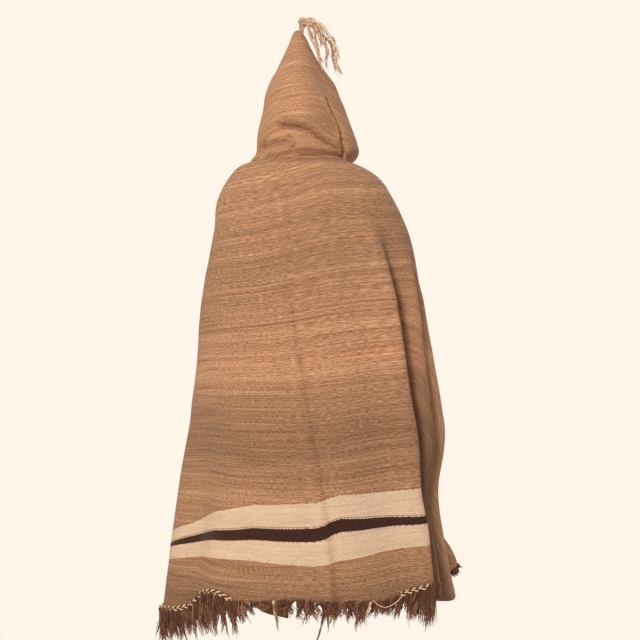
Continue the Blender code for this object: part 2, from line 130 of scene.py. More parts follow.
FringeRow = namedtuple("FringeRow", "angle reach")
FRINGE = (
    FringeRow(-107, 0.075),
    FringeRow(-80, 0.080),
    FringeRow(-61, 0.090),
    FringeRow(-50, 0.110),
    FringeRow(-40, 0.100),
    FringeRow(-36, 0.085),
    FringeRow(-32, 0.055),
    FringeRow(0, 0.055),
    FringeRow(30, 0.055),
    FringeRow(46, 0.050),
    FringeRow(52, 0.085),
    FringeRow(56, 0.110),
    FringeRow(66, 0.095),
)
CORNER_FRINGE = (FringeRow(101, 0.012), FringeRow(106, 0.022), FringeRow(111, 0.014))
EDGINGS = {"twined_edging_left": (-104.0, -36.5), "twined_edging_right": (47.5, 54.0)}

HoodRow = namedtuple("HoodRow", "x z left back right edge_left edge_right angle_left angle_right")
HOOD = (
    HoodRow(0.000, 0.000, 0.150, 0.100, 0.111, 0.100, 0.100, -172.0, 170.0),
    HoodRow(0.001, 0.016, 0.140, 0.109, 0.113, 0.117, 0.126, -170.0, 150.0),
    HoodRow(0.003, 0.034, 0.131, 0.119, 0.119, 0.128, 0.168, -171.0, 120.0),
    HoodRow(0.006, 0.064, 0.125, 0.118, 0.117, 0.134, 0.162, -174.0, 108.0),
    HoodRow(0.009, 0.097, 0.118, 0.122, 0.115, 0.138, 0.152, -177.0, 107.0),
    HoodRow(0.011, 0.130, 0.110, 0.122, 0.108, 0.142, 0.146, -181.0, 113.0),
    HoodRow(0.012, 0.164, 0.102, 0.117, 0.099, 0.144, 0.142, -188.0, 122.0),
    HoodRow(0.013, 0.198, 0.096, 0.106, 0.084, 0.142, 0.138, -199.0, 132.0),
    HoodRow(0.014, 0.234, 0.080, 0.088, 0.068, 0.140, 0.140, -215.0, 145.0),
    HoodRow(0.015, 0.262, 0.062, 0.068, 0.054, 0.110, 0.110, -215.0, 145.0),
    HoodRow(0.016, 0.297, 0.045, 0.046, 0.041, 0.068, 0.068, -215.0, 145.0),
    HoodRow(0.017, 0.330, 0.029, 0.030, 0.027, 0.040, 0.040, -215.0, 145.0),
    HoodRow(0.018, 0.356, 0.018, 0.019, 0.017, 0.022, 0.022, -215.0, 145.0),
    HoodRow(0.019, 0.370, 0.009, 0.010, 0.009, 0.010, 0.010, -215.0, 145.0),
    HoodRow(0.019, 0.374, 0.000, 0.000, 0.000, 0.000, 0.000, -215.0, 145.0),
)
LEFT_AT, BACK_AT, RIGHT_AT = -90.0, 0.0, 60.0

Crease = namedtuple("Crease", "name path width depth")
CREASES = (
    Crease(
        "valley over the neck roll",
        ((-80, 0.030), (-62, 0.041), (-42, 0.046), (-23, 0.047), (-14, 0.042)),
        0.0075,
        -0.019,
    ),
    Crease(
        "buckle over the nape",
        ((-38, 0.098), (-24, 0.089), (-6, 0.084), (12, 0.074), (29, 0.056), (46, 0.038), (68, 0.026)),
        0.0060,
        -0.026,
    ),
    Crease("curl", ((-21, 0.066), (-14, 0.050), (-12, 0.036), (-16, 0.022)), 0.005, -0.016),
    Crease("under the neck roll", ((-14, 0.008), (15, 0.011), (50, 0.015), (74, 0.018)), 0.006, -0.008),
    Crease(
        "neck roll",
        ((-60, 0.014), (-36, 0.018), (-12, 0.026), (10, 0.031), (37, 0.029), (70, 0.022)),
        0.009,
        0.012,
    ),
    Crease("ridge to the nape", ((-78, 0.058), (-64, 0.069), (-40, 0.095), (-25, 0.117)), 0.010, 0.007),
    Crease(
        "lip over the buckle",
        ((-25, 0.114), (-1, 0.100), (19, 0.084), (44, 0.056), (62, 0.036)),
        0.009,
        0.012,
    ),
    Crease(
        "cheek fold",
        ((44, 0.180), (54, 0.148), (62, 0.118), (66, 0.090), (68, 0.053), (73, 0.018), (76, 0.004)),
        0.0090,
        -0.044,
    ),
    Crease("cheek fold edge", ((38, 0.180), (52, 0.132), (58, 0.095), (60, 0.050)), 0.010, 0.006),
    Crease("left cheek fold", ((-108, 0.170), (-118, 0.110), (-122, 0.050), (-124, 0.020)), 0.018, -0.014),
)
Bulge = namedtuple("Bulge", "name angle z spread height out")
BULGES = (
    Bulge("over the buckle", 8.0, 0.116, 36.0, 0.018, 0.006),
    Bulge("left of the curl", -40.0, 0.066, 22.0, 0.013, 0.006),
    Bulge("between buckle and roll", 20.0, 0.052, 22.0, 0.009, -0.003),
)


# ---------------------------------------------------------------------------- curves through tables


def ramp(x, low, high):
    """0 up to low, 1 from high on, and a smooth step between."""
    s = np.clip((x - low) / (high - low), 0.0, 1.0)
    return s * s * (3.0 - 2.0 * s)


def through(places, values, x):
    """A smooth curve through the values at the places, which are in rising order, read at x."""
    places, values = np.asarray(places, float), np.asarray(values, float)
    slopes = np.gradient(values, places)
    x = np.clip(x, places[0], places[-1])
    k = np.clip(np.searchsorted(places, x, side="right") - 1, 0, len(places) - 2)
    step = places[k + 1] - places[k]
    s = (x - places[k]) / step
    return (
        values[k] * (1 + 2 * s) * (1 - s) ** 2
        + slopes[k] * step * s * (1 - s) ** 2
        + values[k + 1] * s * s * (3 - 2 * s)
        + slopes[k + 1] * step * s * s * (s - 1)
    )


def column(rows, name):
    return [getattr(row, name) for row in rows]


def section_places():
    steps = [0.0]
    for above, below in zip(SECTIONS, SECTIONS[1:]):
        back = np.hypot(below.back - above.back, below.z_back - above.z_back)
        right = np.hypot(below.right - above.right, below.z_right - above.z_right)
        steps.append(steps[-1] + (back + right) / 2)
    return np.array(steps) / steps[-1]


PLACES = section_places()


def section(t, name):
    return through(PLACES, column(SECTIONS, name), t)


# ---------------------------------------------------------------------------- surface of the body


def ring_point(angle, t):
    a = np.radians(angle)
    side = np.where(np.sin(a) > 0, section(t, "right"), section(t, "left"))
    depth = np.where(np.cos(a) > 0, section(t, "back"), section(t, "front"))
    power = section(t, "square")
    reach = (np.abs(np.sin(a)) / side) ** power + (np.abs(np.cos(a)) / depth) ** power
    r = reach ** (-1.0 / power)
    return -np.sin(a) * r, np.cos(a) * r, r


def hem_lift(angle):
    return through(column(HEM, "angle"), column(HEM, "lift"), angle)


def body_height(angle, t):
    a = np.radians(angle)
    side = np.where(np.sin(a) > 0, section(t, "z_right"), section(t, "z_left"))
    end = np.where(np.cos(a) > 0, section(t, "z_back"), section(t, "z_front"))
    z = side * np.sin(a) ** 2 + end * np.cos(a) ** 2
    return z + hem_lift(angle) * ramp(t, HEM_FADE_FROM, 1.0)


def ripple(u, v):
    """The cloth's small unevenness, in metres out of its surface."""
    waves = (
        (0.0011, 17.0, 5.0, 0.4),
        (0.0009, -23.0, 9.0, 1.9),
        (0.0007, 11.0, -31.0, 2.6),
        (0.0005, 47.0, 21.0, 0.9),
        (0.0004, -39.0, 58.0, 4.1),
    )
    return sum(
        size * np.sin(a * u + b * v + c + 1.3 * np.sin(0.6 * b * u - 0.4 * a * v))
        for size, a, b, c in waves
    )


def body_points(angle, t, rippled=True):
    """Points of the cloak's outer face, with its folds, for arrays of angle and t."""
    angle, t = np.broadcast_arrays(np.asarray(angle, float), np.asarray(t, float))
    x, y, r = ring_point(angle, t)
    ahead_x, ahead_y, _ = ring_point(angle + 0.5, t)
    along = np.stack([ahead_x - x, ahead_y - y], -1)
    along /= np.linalg.norm(along, axis=-1, keepdims=True)
    out = np.stack([along[..., 1], -along[..., 0]], -1)
    place = np.stack([x, y], -1)
    for fold in FOLDS:
        crest = fold.top + (fold.hem - fold.top) * ramp(t, 0.0, 1.0)
        size = np.exp(-((np.radians(angle - crest) * r / fold.width) ** 2)) * ramp(t, fold.start, fold.full)
        place = place + out * (fold.depth * size)[..., None] + along * (fold.lean * size)[..., None]
    if rippled:
        uneven = ripple(np.radians(angle) * 0.35, t * 1.2) * ramp(t, 0.0, 0.15)
        place = place + out * uneven[..., None]
    return np.concatenate([place, body_height(angle, t)[..., None]], -1)


def front_edge(t):
    seam = 180.0 - np.degrees(GAP / 2 / section(t, "front"))
    return seam - FRONT_PARTING * ramp(t, JOIN_T, 1.15) / ramp(1.0, JOIN_T, 1.15)


# ---------------------------------------------------------------------------- cloth coordinates

PLEAT_SWING = 50.0  # degrees of the flat half-moon hidden in the deep pleat
TILT = 0.05  # the cloak is worn a little turned, so the weft climbs to the wearer's right

# Height of each edge of the bands above the hem, round the cloak, along the cloth. -1 is where
# there is no band.
BandRow = namedtuple("BandRow", "angle cream_low dark_low dark_high cream_high")
BANDS = (
    BandRow(-180, 0.060, 0.090, 0.092, 0.110),
    BandRow(-84, 0.060, 0.092, 0.096, 0.130),
    BandRow(-66, 0.075, 0.112, 0.130, 0.165),
    BandRow(-48, 0.090, 0.135, 0.160, 0.210),
    BandRow(-28, 0.096, 0.147, 0.176, 0.236),
    BandRow(6, 0.085, 0.146, 0.179, 0.245),
    BandRow(21, 0.096, 0.167, 0.200, 0.260),
    BandRow(40, 0.100, 0.161, 0.188, 0.251),
    BandRow(60, 0.097, 0.150, 0.167, 0.242),
    BandRow(61, -1.0, -1.0, -1.0, -1.0),
    BandRow(180, -1.0, -1.0, -1.0, -1.0),
)

# How far the weft is carried up, near the shoulders, by the way the cloak is put on.
LiftRow = namedtuple("LiftRow", "angle lift")
UPPER_WEFT = (
    LiftRow(-180, 0.060),
    LiftRow(-90, 0.085),
    LiftRow(-72, 0.075),
    LiftRow(-40, 0.050),
    LiftRow(-10, 0.020),
    LiftRow(18, 0.000),
    LiftRow(40, 0.003),
    LiftRow(58, 0.018),
    LiftRow(180, 0.050),
)


def meridians(angle, t):
    """Length of each meridian of the unfolded body, from the neck to t, for a grid with t down the rows."""
    x, y, _ = ring_point(angle, t)
    z = body_height(angle, t)
    steps = np.sqrt(np.diff(x, axis=0) ** 2 + np.diff(y, axis=0) ** 2 + np.diff(z, axis=0) ** 2)
    return np.concatenate([np.zeros((1, x.shape[1])), np.cumsum(steps, axis=0)])


FINE_COUNT = 361  # angles round the cloak, one for each degree
FINE_T = np.linspace(0.0, 1.0, 240)[:, None]
FINE_ANGLE = np.linspace(-180.0, 180.0, FINE_COUNT)[None, :]
FINE_LENGTH = meridians(*np.broadcast_arrays(FINE_ANGLE, FINE_T))
BACK_LENGTH = NECK_REACH + float(FINE_LENGTH[-1, FINE_COUNT // 2])


def swing(angle, t):
    """Angle in the flat half-moon: 0 at the mid back, 90 degrees at the front edges.

    A deep pleat behind the back's right edge takes up cloth, so the swing is larger past it.
    """
    hem = NECK_REACH + FINE_LENGTH[-1]
    flat = np.degrees(np.arccos(np.clip(BACK_LENGTH / hem, 0.0, 1.0)))
    side = np.interp([-SIDE_SEAM, SIDE_SEAM], FINE_ANGLE[0], flat)
    side = np.where(angle > 0, side[1], side[0])
    inner = side * (np.abs(angle) / SIDE_SEAM) ** 1.4
    inner = inner + PLEAT_SWING * ramp(angle, 58.0, 84.0) * ramp(t, 0.06, 0.80)
    side = side + np.where(angle > 0, PLEAT_SWING * ramp(t, 0.06, 0.80), 0.0)
    outer = side + (90.0 - side) * np.clip((np.abs(angle) - SIDE_SEAM) / (180.0 - SIDE_SEAM), 0.0, 1.0)
    return np.sign(angle) * np.where(np.abs(angle) < SIDE_SEAM, inner, outer)


def cloth_uv(angle, t):
    """u, v and the heights of the bands' four edges, for a grid with t down the rows."""
    angle, t = np.broadcast_arrays(np.asarray(angle, float), np.asarray(t, float))
    length = np.empty(angle.shape)
    for j in range(angle.shape[0]):
        for_row = np.array([np.interp(t[j, 0], FINE_T[:, 0], FINE_LENGTH[:, k]) for k in range(FINE_COUNT)])
        length[j] = np.interp(angle[j], FINE_ANGLE[0], for_row)
    reach = NECK_REACH + length
    phi = np.radians(swing(angle, t))
    u = reach * np.sin(phi)
    v = BACK_LENGTH - reach * np.cos(phi)
    v = v - TILT * u * ramp(v, 0.0, 0.5)
    v = v + through(column(UPPER_WEFT, "angle"), column(UPPER_WEFT, "lift"), angle) * ramp(v, 0.30, 0.95)
    lines = [np.interp(angle, column(BANDS, "angle"), column(BANDS, name)) for name in BandRow._fields[1:]]
    return u, v, np.stack(lines, -1)


# ---------------------------------------------------------------------------- surface of the hood


def hood_radius(angle, level):
    rows = np.linspace(0.0, 1.0, len(HOOD))
    left, back, right, edge_left, edge_right, angle_left, angle_right = (
        through(rows, column(HOOD, name), level)
        for name in ("left", "back", "right", "edge_left", "edge_right", "angle_left", "angle_right")
    )
    fixed = [np.full_like(level, at) for at in (LEFT_AT, BACK_AT, RIGHT_AT)]
    knots = np.stack([angle_left, *fixed, angle_right], -1)
    reach = np.stack([edge_left, left, back, right, edge_right], -1)
    radius = np.empty(angle.shape)
    for j in range(angle.shape[0]):
        radius[j] = through(knots[j, 0], reach[j, 0], angle[j])
    return radius


def near_path(angle, z, r, path):
    best = np.full(angle.shape, 9.0)
    share = np.zeros(angle.shape)
    stretches = len(path) - 1
    for k, ((angle_a, z_a), (angle_b, z_b)) in enumerate(zip(path, path[1:])):
        du, dz = np.radians(angle_b - angle_a) * r, z_b - z_a
        pu, pz = np.radians(angle - angle_a) * r, z - z_a
        s = np.clip((pu * du + pz * dz) / (du * du + dz * dz + 1e-9), 0.0, 1.0)
        gap = np.hypot(pu - s * du, pz - s * dz)
        closer = gap < best
        best = np.where(closer, gap, best)
        share = np.where(closer, (k + s) / stretches, share)
    return best, share


def hood_points(side, level):
    """Points of the hood's outer face and their cloth coordinates, for a grid with level down the rows."""
    side, level = np.broadcast_arrays(np.asarray(side, float), np.asarray(level, float))
    rows = np.linspace(0.0, 1.0, len(HOOD))
    x, z, left, right = (
        through(rows, column(HOOD, name), level) for name in ("x", "z", "angle_left", "angle_right")
    )
    angle = left + (right - left) * side
    r = hood_radius(angle, level)
    r = r + (ring_point(angle, np.zeros_like(angle))[2] - r) * (1.0 - ramp(level, 0.0, 0.08))
    on_seam = body_height(np.clip(angle, -180.0, 180.0), np.zeros_like(angle)) - HOOD[0].z
    z = z + on_seam * (1.0 - ramp(level, 0.0, 0.35)) + 2 * GAP
    for crease in CREASES:
        gap, share = near_path(angle, z, r, crease.path)
        fade = ramp(share, 0.0, 0.18) * (1.0 - ramp(share, 0.82, 1.0))
        r = r + crease.depth * np.exp(-((gap / crease.width) ** 2)) * fade
    for bulge in BULGES:
        near = ((angle - bulge.angle) / bulge.spread) ** 2 + ((z - bulge.z) / bulge.height) ** 2
        r = r + bulge.out * np.exp(-near)
    r = r + (
        ripple(np.radians(angle) * 0.12 + 3.0, z + 2.0)
        * ramp(level, 0.0, 0.1)
        * (1.0 - ramp(level, 0.8, 1.0))
    )
    a = np.radians(angle)
    points = np.stack([x - np.sin(a) * r, np.cos(a) * r, z], -1)
    down = HOOD[-1].z - z + 0.06
    phi = np.radians((angle - 8.0) * 0.36)
    return points, down * np.sin(phi), 3.0 - down * np.cos(phi)


# ---------------------------------------------------------------------------- meshes


def cloth(name, node, points, u, v, lines, material):
    """A fine closed wall of cloth in place of a CAD node, with cloth coordinates as UV maps."""
    rows, columns = points.shape[:2]
    bm = bmesh.new()
    verts = [[bm.verts.new(points[j, i]) for i in range(columns)] for j in range(rows)]
    weave = bm.loops.layers.uv.new("cloth")
    light = bm.loops.layers.uv.new("cream_edges")
    band = bm.loops.layers.uv.new("dark_edges")
    for j in range(rows - 1):
        for i in range(columns - 1):
            corners = ((j, i), (j + 1, i), (j + 1, i + 1), (j, i + 1))
            face = bm.faces.new([verts[b][a] for b, a in corners])
            for loop, (b, a) in zip(face.loops, corners):
                loop[weave].uv = (u[b, a], v[b, a])
                loop[light].uv = (lines[b, a, 0], lines[b, a, 3])
                loop[band].uv = (lines[b, a, 1], lines[b, a, 2])
    bmesh.ops.remove_doubles(bm, verts=bm.verts, dist=1e-5)
    mesh = bpy.data.meshes.new(name)
    bm.to_mesh(mesh)
    bm.free()
    mesh.shade_smooth()
    mesh.materials.append(material)
    obj = bpy.data.objects.new(name, mesh)
    bpy.context.scene.collection.objects.link(obj)
    solidify = obj.modifiers.new("cloth thickness", "SOLIDIFY")
    solidify.thickness = CLOTH
    solidify.offset = -1.0
    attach(obj, "root")
    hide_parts(node)
    return obj


def strands(name, guides, sides, material, node=None):
    """Many tapered yarns as one mesh. A guide is (points, radii, tint), the tint goes to a UV map."""
    verts, faces, tints = [], [], []
    for points, radii, tint in guides:
        points = np.asarray(points)
        line = np.gradient(points, axis=0)
        line /= np.linalg.norm(line, axis=1, keepdims=True) + 1e-12
        across = np.cross(line, (0.31, 0.83, 0.21))
        across /= np.linalg.norm(across, axis=1, keepdims=True) + 1e-12
        third = np.cross(line, across)
        first = len(verts)
        count = len(points)
        for k in range(count):
            for s in range(sides):
                a = 2 * math.pi * s / sides
                verts.append(points[k] + radii[k] * (math.cos(a) * across[k] + math.sin(a) * third[k]))
        for k in range(count - 1):
            for s in range(sides):
                a, b = first + k * sides + s, first + k * sides + (s + 1) % sides
                faces.append((a, b, b + sides, a + sides))
                low, high = k / (count - 1), (k + 1) / (count - 1)
                tints.extend([(tint, low), (tint, low), (tint, high), (tint, high)])
        faces.append(tuple(first + s for s in reversed(range(sides))))
        faces.append(tuple(first + (count - 1) * sides + s for s in range(sides)))
        tints.extend([(tint, 0.0)] * sides + [(tint, 1.0)] * sides)
    mesh = bpy.data.meshes.new(name)
    mesh.from_pydata(verts, [], faces)
    layer = mesh.uv_layers.new(name="yarn")
    layer.data.foreach_set("uv", np.array(tints, np.float32).ravel())
    mesh.shade_smooth()
    mesh.materials.append(material)
    obj = bpy.data.objects.new(name, mesh)
    bpy.context.scene.collection.objects.link(obj)
    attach(obj, "root")
    if node:
        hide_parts(node)
    return obj


# ---------------------------------------------------------------------------- materials


class Nodes:
    """Short ways to add shader nodes to one material."""

    def __init__(self, name):
        self.material = bpy.data.materials.new(name)
        self.material.use_nodes = True
        self.tree = self.material.node_tree
        self.shader = self.tree.nodes["Principled BSDF"]

    def link(self, source, target):
        self.tree.links.new(source, target)

    def put(self, socket, value):
        if hasattr(value, "is_linked"):
            self.link(value, socket)
        else:
            socket.default_value = value

    def uv(self, name):
        node = self.tree.nodes.new("ShaderNodeUVMap")
        node.uv_map = name
        split = self.tree.nodes.new("ShaderNodeSeparateXYZ")
        self.link(node.outputs[0], split.inputs[0])
        return split.outputs[0], split.outputs[1]

    def math(self, operation, a, b=0.0, c=0.0, clamp=False):
        node = self.tree.nodes.new("ShaderNodeMath")
        node.operation = operation
        node.use_clamp = clamp
        for socket, value in zip(node.inputs, (a, b, c)):
            self.put(socket, value)
        return node.outputs[0]

    def noise(self, u, v, scale_u, scale_v, detail=2.0, seed=0.0, rough=0.5):
        join = self.tree.nodes.new("ShaderNodeCombineXYZ")
        self.put(join.inputs[0], self.math("MULTIPLY", u, scale_u))
        self.put(join.inputs[1], self.math("MULTIPLY", v, scale_v))
        join.inputs[2].default_value = seed
        node = self.tree.nodes.new("ShaderNodeTexNoise")
        node.inputs["Scale"].default_value = 1.0
        node.inputs["Detail"].default_value = detail
        node.inputs["Roughness"].default_value = rough
        self.link(join.outputs[0], node.inputs["Vector"])
        return node.outputs["Fac"]

    def step(self, x, low, high, out_low=0.0, out_high=1.0):
        node = self.tree.nodes.new("ShaderNodeMapRange")
        node.interpolation_type = "SMOOTHSTEP"
        for socket, value in zip(node.inputs, (x, low, high, out_low, out_high)):
            self.put(socket, value)
        return node.outputs[0]

    def ramp(self, x, stops):
        node = self.tree.nodes.new("ShaderNodeValToRGB")
        elements = node.color_ramp.elements
        while len(elements) > 1:
            elements.remove(elements[-1])
        elements[0].position, elements[0].color = stops[0][0], (*stops[0][1], 1.0)
        for place, colour in stops[1:]:
            elements.new(place).color = (*colour, 1.0)
        self.put(node.inputs[0], x)
        return node.outputs[0]

    def mix(self, fac, a, b, blend="MIX"):
        node = self.tree.nodes.new("ShaderNodeMix")
        node.data_type = "RGBA"
        node.blend_type = blend
        self.put(node.inputs[0], fac)
        for socket, value in ((node.inputs[6], a), (node.inputs[7], b)):
            self.put(socket, value if hasattr(value, "is_linked") else (*value, 1.0))
        return node.outputs[2]

    def bump(self, height, distance):
        node = self.tree.nodes.new("ShaderNodeBump")
        node.inputs["Strength"].default_value = 1.0
        node.inputs["Distance"].default_value = distance
        self.link(height, node.inputs["Height"])
        self.link(node.outputs[0], self.shader.inputs["Normal"])

    def wool(self, colour):
        self.put(self.shader.inputs["Base Color"], colour)
        self.shader.inputs["Roughness"].default_value = 0.95
        self.shader.inputs["Specular IOR Level"].default_value = 0.15
        self.shader.inputs["Sheen Weight"].default_value = 0.12
        self.shader.inputs["Sheen Roughness"].default_value = 0.6
        self.shader.inputs["Sheen Tint"].default_value = (0.95, 0.78, 0.62, 1.0)
        return self.material


YARN_DARK = (0.145, 0.064, 0.035)
YARN_MID = (0.410, 0.206, 0.107)
YARN_LIGHT = (0.70, 0.425, 0.260)
RED_BROWN = (0.20, 0.080, 0.052)

# Tone of the yarn in use at each height above the hem.
ToneRow = namedtuple("ToneRow", "v tone")
TONES = (
    ToneRow(0.00, 0.68),
    ToneRow(0.06, 0.88),
    ToneRow(0.25, 1.00),
    ToneRow(0.36, 0.70),
    ToneRow(0.48, 0.80),
    ToneRow(0.60, 1.18),
    ToneRow(0.75, 1.00),
    ToneRow(0.90, 0.86),
    ToneRow(1.10, 1.00),
    ToneRow(1.25, 1.20),
)
TONE_REACH = 1.25
TONE_MOST = 1.3  # tones are divided by this in the ramp and multiplied by it after
THICK_YARN_V = 0.7205
RIB = 0.0021  # from one rib of the weave to the next

TICK = 0.0037  # from one edge yarn of the bands to the next


def woven_wool(name, banded, lightness=1.0):
    """Brown wool of uneven yarns, with the cream and dark bands above the hem where banded."""
    n = Nodes(name)
    u, v = n.uv("cloth")
    wander = n.noise(u, v, 4.0, 3.0, 2.0, 5.0)
    v = n.math("MULTIPLY_ADD", n.math("SUBTRACT", wander, 0.5), 0.016, v)
    v = n.math("MULTIPLY_ADD", n.math("SUBTRACT", n.noise(u, v, 16.0, 30.0, 1.0, 11.0), 0.5), 0.0045, v)
    broad = n.noise(u, v, 1.3, 34.0, 2.0, 1.0)
    streak = n.noise(u, v, 3.6, 165.0, 3.0, 2.0, 0.65)
    yarn = n.noise(u, v, 12.0, 470.0, 2.0, 3.0, 0.7)
    grain = n.noise(u, v, 250.0, 430.0, 2.0, 4.0, 0.75)
    tone = n.math("MULTIPLY_ADD", n.math("SUBTRACT", broad, 0.5), 0.45, 0.5)
    tone = n.math("MULTIPLY_ADD", n.math("SUBTRACT", streak, 0.5), 0.62, tone)
    tone = n.math("MULTIPLY_ADD", n.math("SUBTRACT", yarn, 0.5), 0.85, tone)
    tone = n.math("MULTIPLY_ADD", n.math("SUBTRACT", grain, 0.5), 1.55, tone, clamp=True)
    colour = n.ramp(tone, ((0.08, YARN_DARK), (0.50, YARN_MID), (0.92, YARN_LIGHT)))
    slub = n.step(n.noise(u, v, 6.5, 330.0, 2.0, 6.0, 0.6), 0.60, 0.68)
    colour = n.mix(n.math("MULTIPLY", slub, 0.55), colour, YARN_DARK)
    pale_slub = n.step(n.noise(u, v, 8.0, 350.0, 2.0, 9.0, 0.6), 0.62, 0.70)
    colour = n.mix(n.math("MULTIPLY", pale_slub, 0.35), colour, YARN_LIGHT)
    red = n.step(n.noise(u, v, 1.4, 30.0, 1.0, 7.0), 0.45, 0.75)
    colour = n.mix(n.math("MULTIPLY", red, 0.5), colour, (1.0, 0.90, 0.86), "MULTIPLY")
    if lightness != 1.0:
        colour = n.mix(1.0, colour, (lightness,) * 3, "MULTIPLY")
    if banded:
        stops = [(row.v / TONE_REACH, (row.tone / TONE_MOST,) * 3) for row in TONES]
        shade = n.ramp(n.math("DIVIDE", v, TONE_REACH), stops)
        colour = n.mix(1.0, colour, n.mix(1.0, shade, (TONE_MOST,) * 3, "MULTIPLY"), "MULTIPLY")
        colour = thick_yarn(n, u, v, colour)
        colour = bands(n, u, v, wander, streak, grain, colour)
    rib = n.math("SINE", n.math("MULTIPLY", v, 2 * math.pi / RIB))
    height = n.math("MULTIPLY_ADD", rib, 0.2, n.math("ADD", yarn, n.math("MULTIPLY", grain, 1.2)))
    n.bump(height, 0.0016)
    return n.wool(colour)


def thick_yarn(n, u, v, colour):
    """One dark thick yarn that runs part of the way across the back."""
    bent = n.math("MULTIPLY_ADD", n.math("ABSOLUTE", n.math("ADD", u, 0.02)), 0.06, v)
    off = n.math("ABSOLUTE", n.math("SUBTRACT", bent, THICK_YARN_V))
    across = n.math("LESS_THAN", n.math("ABSOLUTE", n.math("ADD", u, 0.015)), 0.125)
    yarn = n.math("MULTIPLY", n.step(off, 0.0008, 0.0017, 1.0, 0.0), across)
    return n.mix(n.math("MULTIPLY", yarn, 0.65), colour, YARN_DARK)


def bands(n, u, v, wander, streak, grain, colour):
    """The cream band with the dark band in it. Their edges' heights come in two UV maps."""
    low, high = n.uv("cream_edges")
    dark_low, dark_high = n.uv("dark_edges")
    straight = n.math("MULTIPLY_ADD", n.math("SUBTRACT", wander, 0.5), -0.010, v)
    fray = n.math("SUBTRACT", n.noise(u, v, 90.0, 40.0, 2.0, 12.0), 0.5)
    straight = n.math("MULTIPLY_ADD", fray, 0.0018, straight)
    tick = n.step(n.math("SINE", n.math("MULTIPLY", u, 2 * math.pi / TICK)), 0.1, 0.8)
    pale = n.math("MULTIPLY_ADD", n.math("SUBTRACT", streak, 0.5), 0.45, 0.5, clamp=True)
    pale = n.math("MULTIPLY_ADD", n.math("SUBTRACT", grain, 0.5), 0.75, pale, clamp=True)
    cream = n.ramp(pale, ((0.12, (0.53, 0.35, 0.225)), (0.5, (0.69, 0.49, 0.345)), (0.9, (0.80, 0.62, 0.47))))
    stain = n.step(n.noise(u, v, 9.0, 13.0, 2.0, 8.0), 0.60, 0.80)
    cream = n.mix(n.math("MULTIPLY", stain, 0.22), cream, (0.62, 0.40, 0.22))
    speck = n.step(n.noise(u, v, 95.0, 260.0, 1.0, 10.0), 0.745, 0.80)
    cream = n.mix(n.math("MULTIPLY", speck, 0.65), cream, (0.20, 0.10, 0.07))
    in_cream = n.math(
        "MULTIPLY",
        n.step(n.math("SUBTRACT", straight, low), -0.0008, 0.0008),
        n.step(n.math("SUBTRACT", high, straight), -0.0008, 0.0008),
    )
    colour = n.mix(in_cream, colour, cream)
    top = n.math("ABSOLUTE", n.math("SUBTRACT", straight, n.math("ADD", high, 0.0012)))
    tick_row = n.math("MULTIPLY", n.math("LESS_THAN", top, 0.0024), tick)
    colour = n.mix(n.math("MULTIPLY", tick_row, 0.50), colour, (0.13, 0.055, 0.038))
    over = n.math("SUBTRACT", straight, dark_high)
    under = n.math("SUBTRACT", dark_low, straight)
    outside = n.math("MAXIMUM", over, under)
    red_rim = n.math("MULTIPLY", n.math("LESS_THAN", over, 0.0048), n.math("GREATER_THAN", over, 0.0028))
    red_rim = n.math("MULTIPLY", red_rim, n.math("GREATER_THAN", dark_high, 0.0))
    colour = n.mix(n.math("MULTIPLY", red_rim, 0.7), colour, RED_BROWN)
    beside = n.math("MULTIPLY", n.math("LESS_THAN", outside, 0.0027), tick)
    colour = n.mix(n.math("MULTIPLY", beside, 0.6), colour, (0.075, 0.028, 0.019))
    in_dark = n.step(outside, -0.0004, 0.0006, 1.0, 0.0)
    dark = n.ramp(
        grain, ((0.30, (0.022, 0.007, 0.004)), (0.55, (0.046, 0.013, 0.008)), (0.8, (0.090, 0.030, 0.020)))
    )
    return n.mix(in_dark, colour, dark)


def yarn_material(name, stops, tip=None):
    """Loose yarn: colour by each yarn's own tint, and paler or darker towards its tip."""
    n = Nodes(name)
    tint, along = n.uv("yarn")
    colour = n.ramp(tint, stops)
    if tip:
        # A pale yarn stays pale to its tip.
        amount = n.math("MULTIPLY", n.step(along, 0.45, 1.0, 0.0, 0.6), n.step(tint, 0.80, 0.95, 1.0, 0.0))
        colour = n.mix(amount, colour, tip)
    return n.wool(colour)


# ---------------------------------------------------------------------------- the cloth pieces

body_wool = woven_wool("brown wool with bands", True)
hood_wool = woven_wool("brown wool", False, 1.12)


def crowded(first, last, count, at):
    fine = np.linspace(first, last, 1200)
    density = np.ones_like(fine)
    for fold in FOLDS:
        crest = fold.top + (fold.hem - fold.top) * ramp(at, 0.0, 1.0)
        spread = np.degrees(fold.width / 0.3)
        density += 1.2 * abs(fold.depth) / 0.03 * np.exp(-(((fine - crest) / spread) ** 2))
    along = np.concatenate([[0.0], np.cumsum((density[1:] + density[:-1]) / 2)])
    return np.interp(np.linspace(0.0, along[-1], count), along, fine)


ROWS = 200
t = np.linspace(0.0, 1.0, ROWS)[:, None]
half_seam = math.degrees(GAP / 2 / 0.3)
back_angles = crowded(-SIDE_SEAM + half_seam, SIDE_SEAM - half_seam, 210, 0.75)[None, :]
back = cloth("cloak_back", "back", body_points(back_angles, t), *cloth_uv(back_angles, t), body_wool)

for name, sign in (("front_right", 1), ("front_left", -1)):
    start = SIDE_SEAM + half_seam
    spacing = (np.abs(crowded(sign * start, sign * 180.0, 74, 0.75)) - start) / (180.0 - start)
    angles = sign * (start + (front_edge(t) - start) * spacing[None, :])
    if sign < 0:
        angles = angles[:, ::-1]
    cloth(f"cloak_{name}", name, body_points(angles, t), *cloth_uv(angles, t), body_wool)

side = np.linspace(0.0, 1.0, 190)[None, :]
level = (np.linspace(0.0, 1.0, 200) ** 0.9)[:, None]
hood_grid, hood_u, hood_v = (a[::-1] for a in hood_points(side, level))
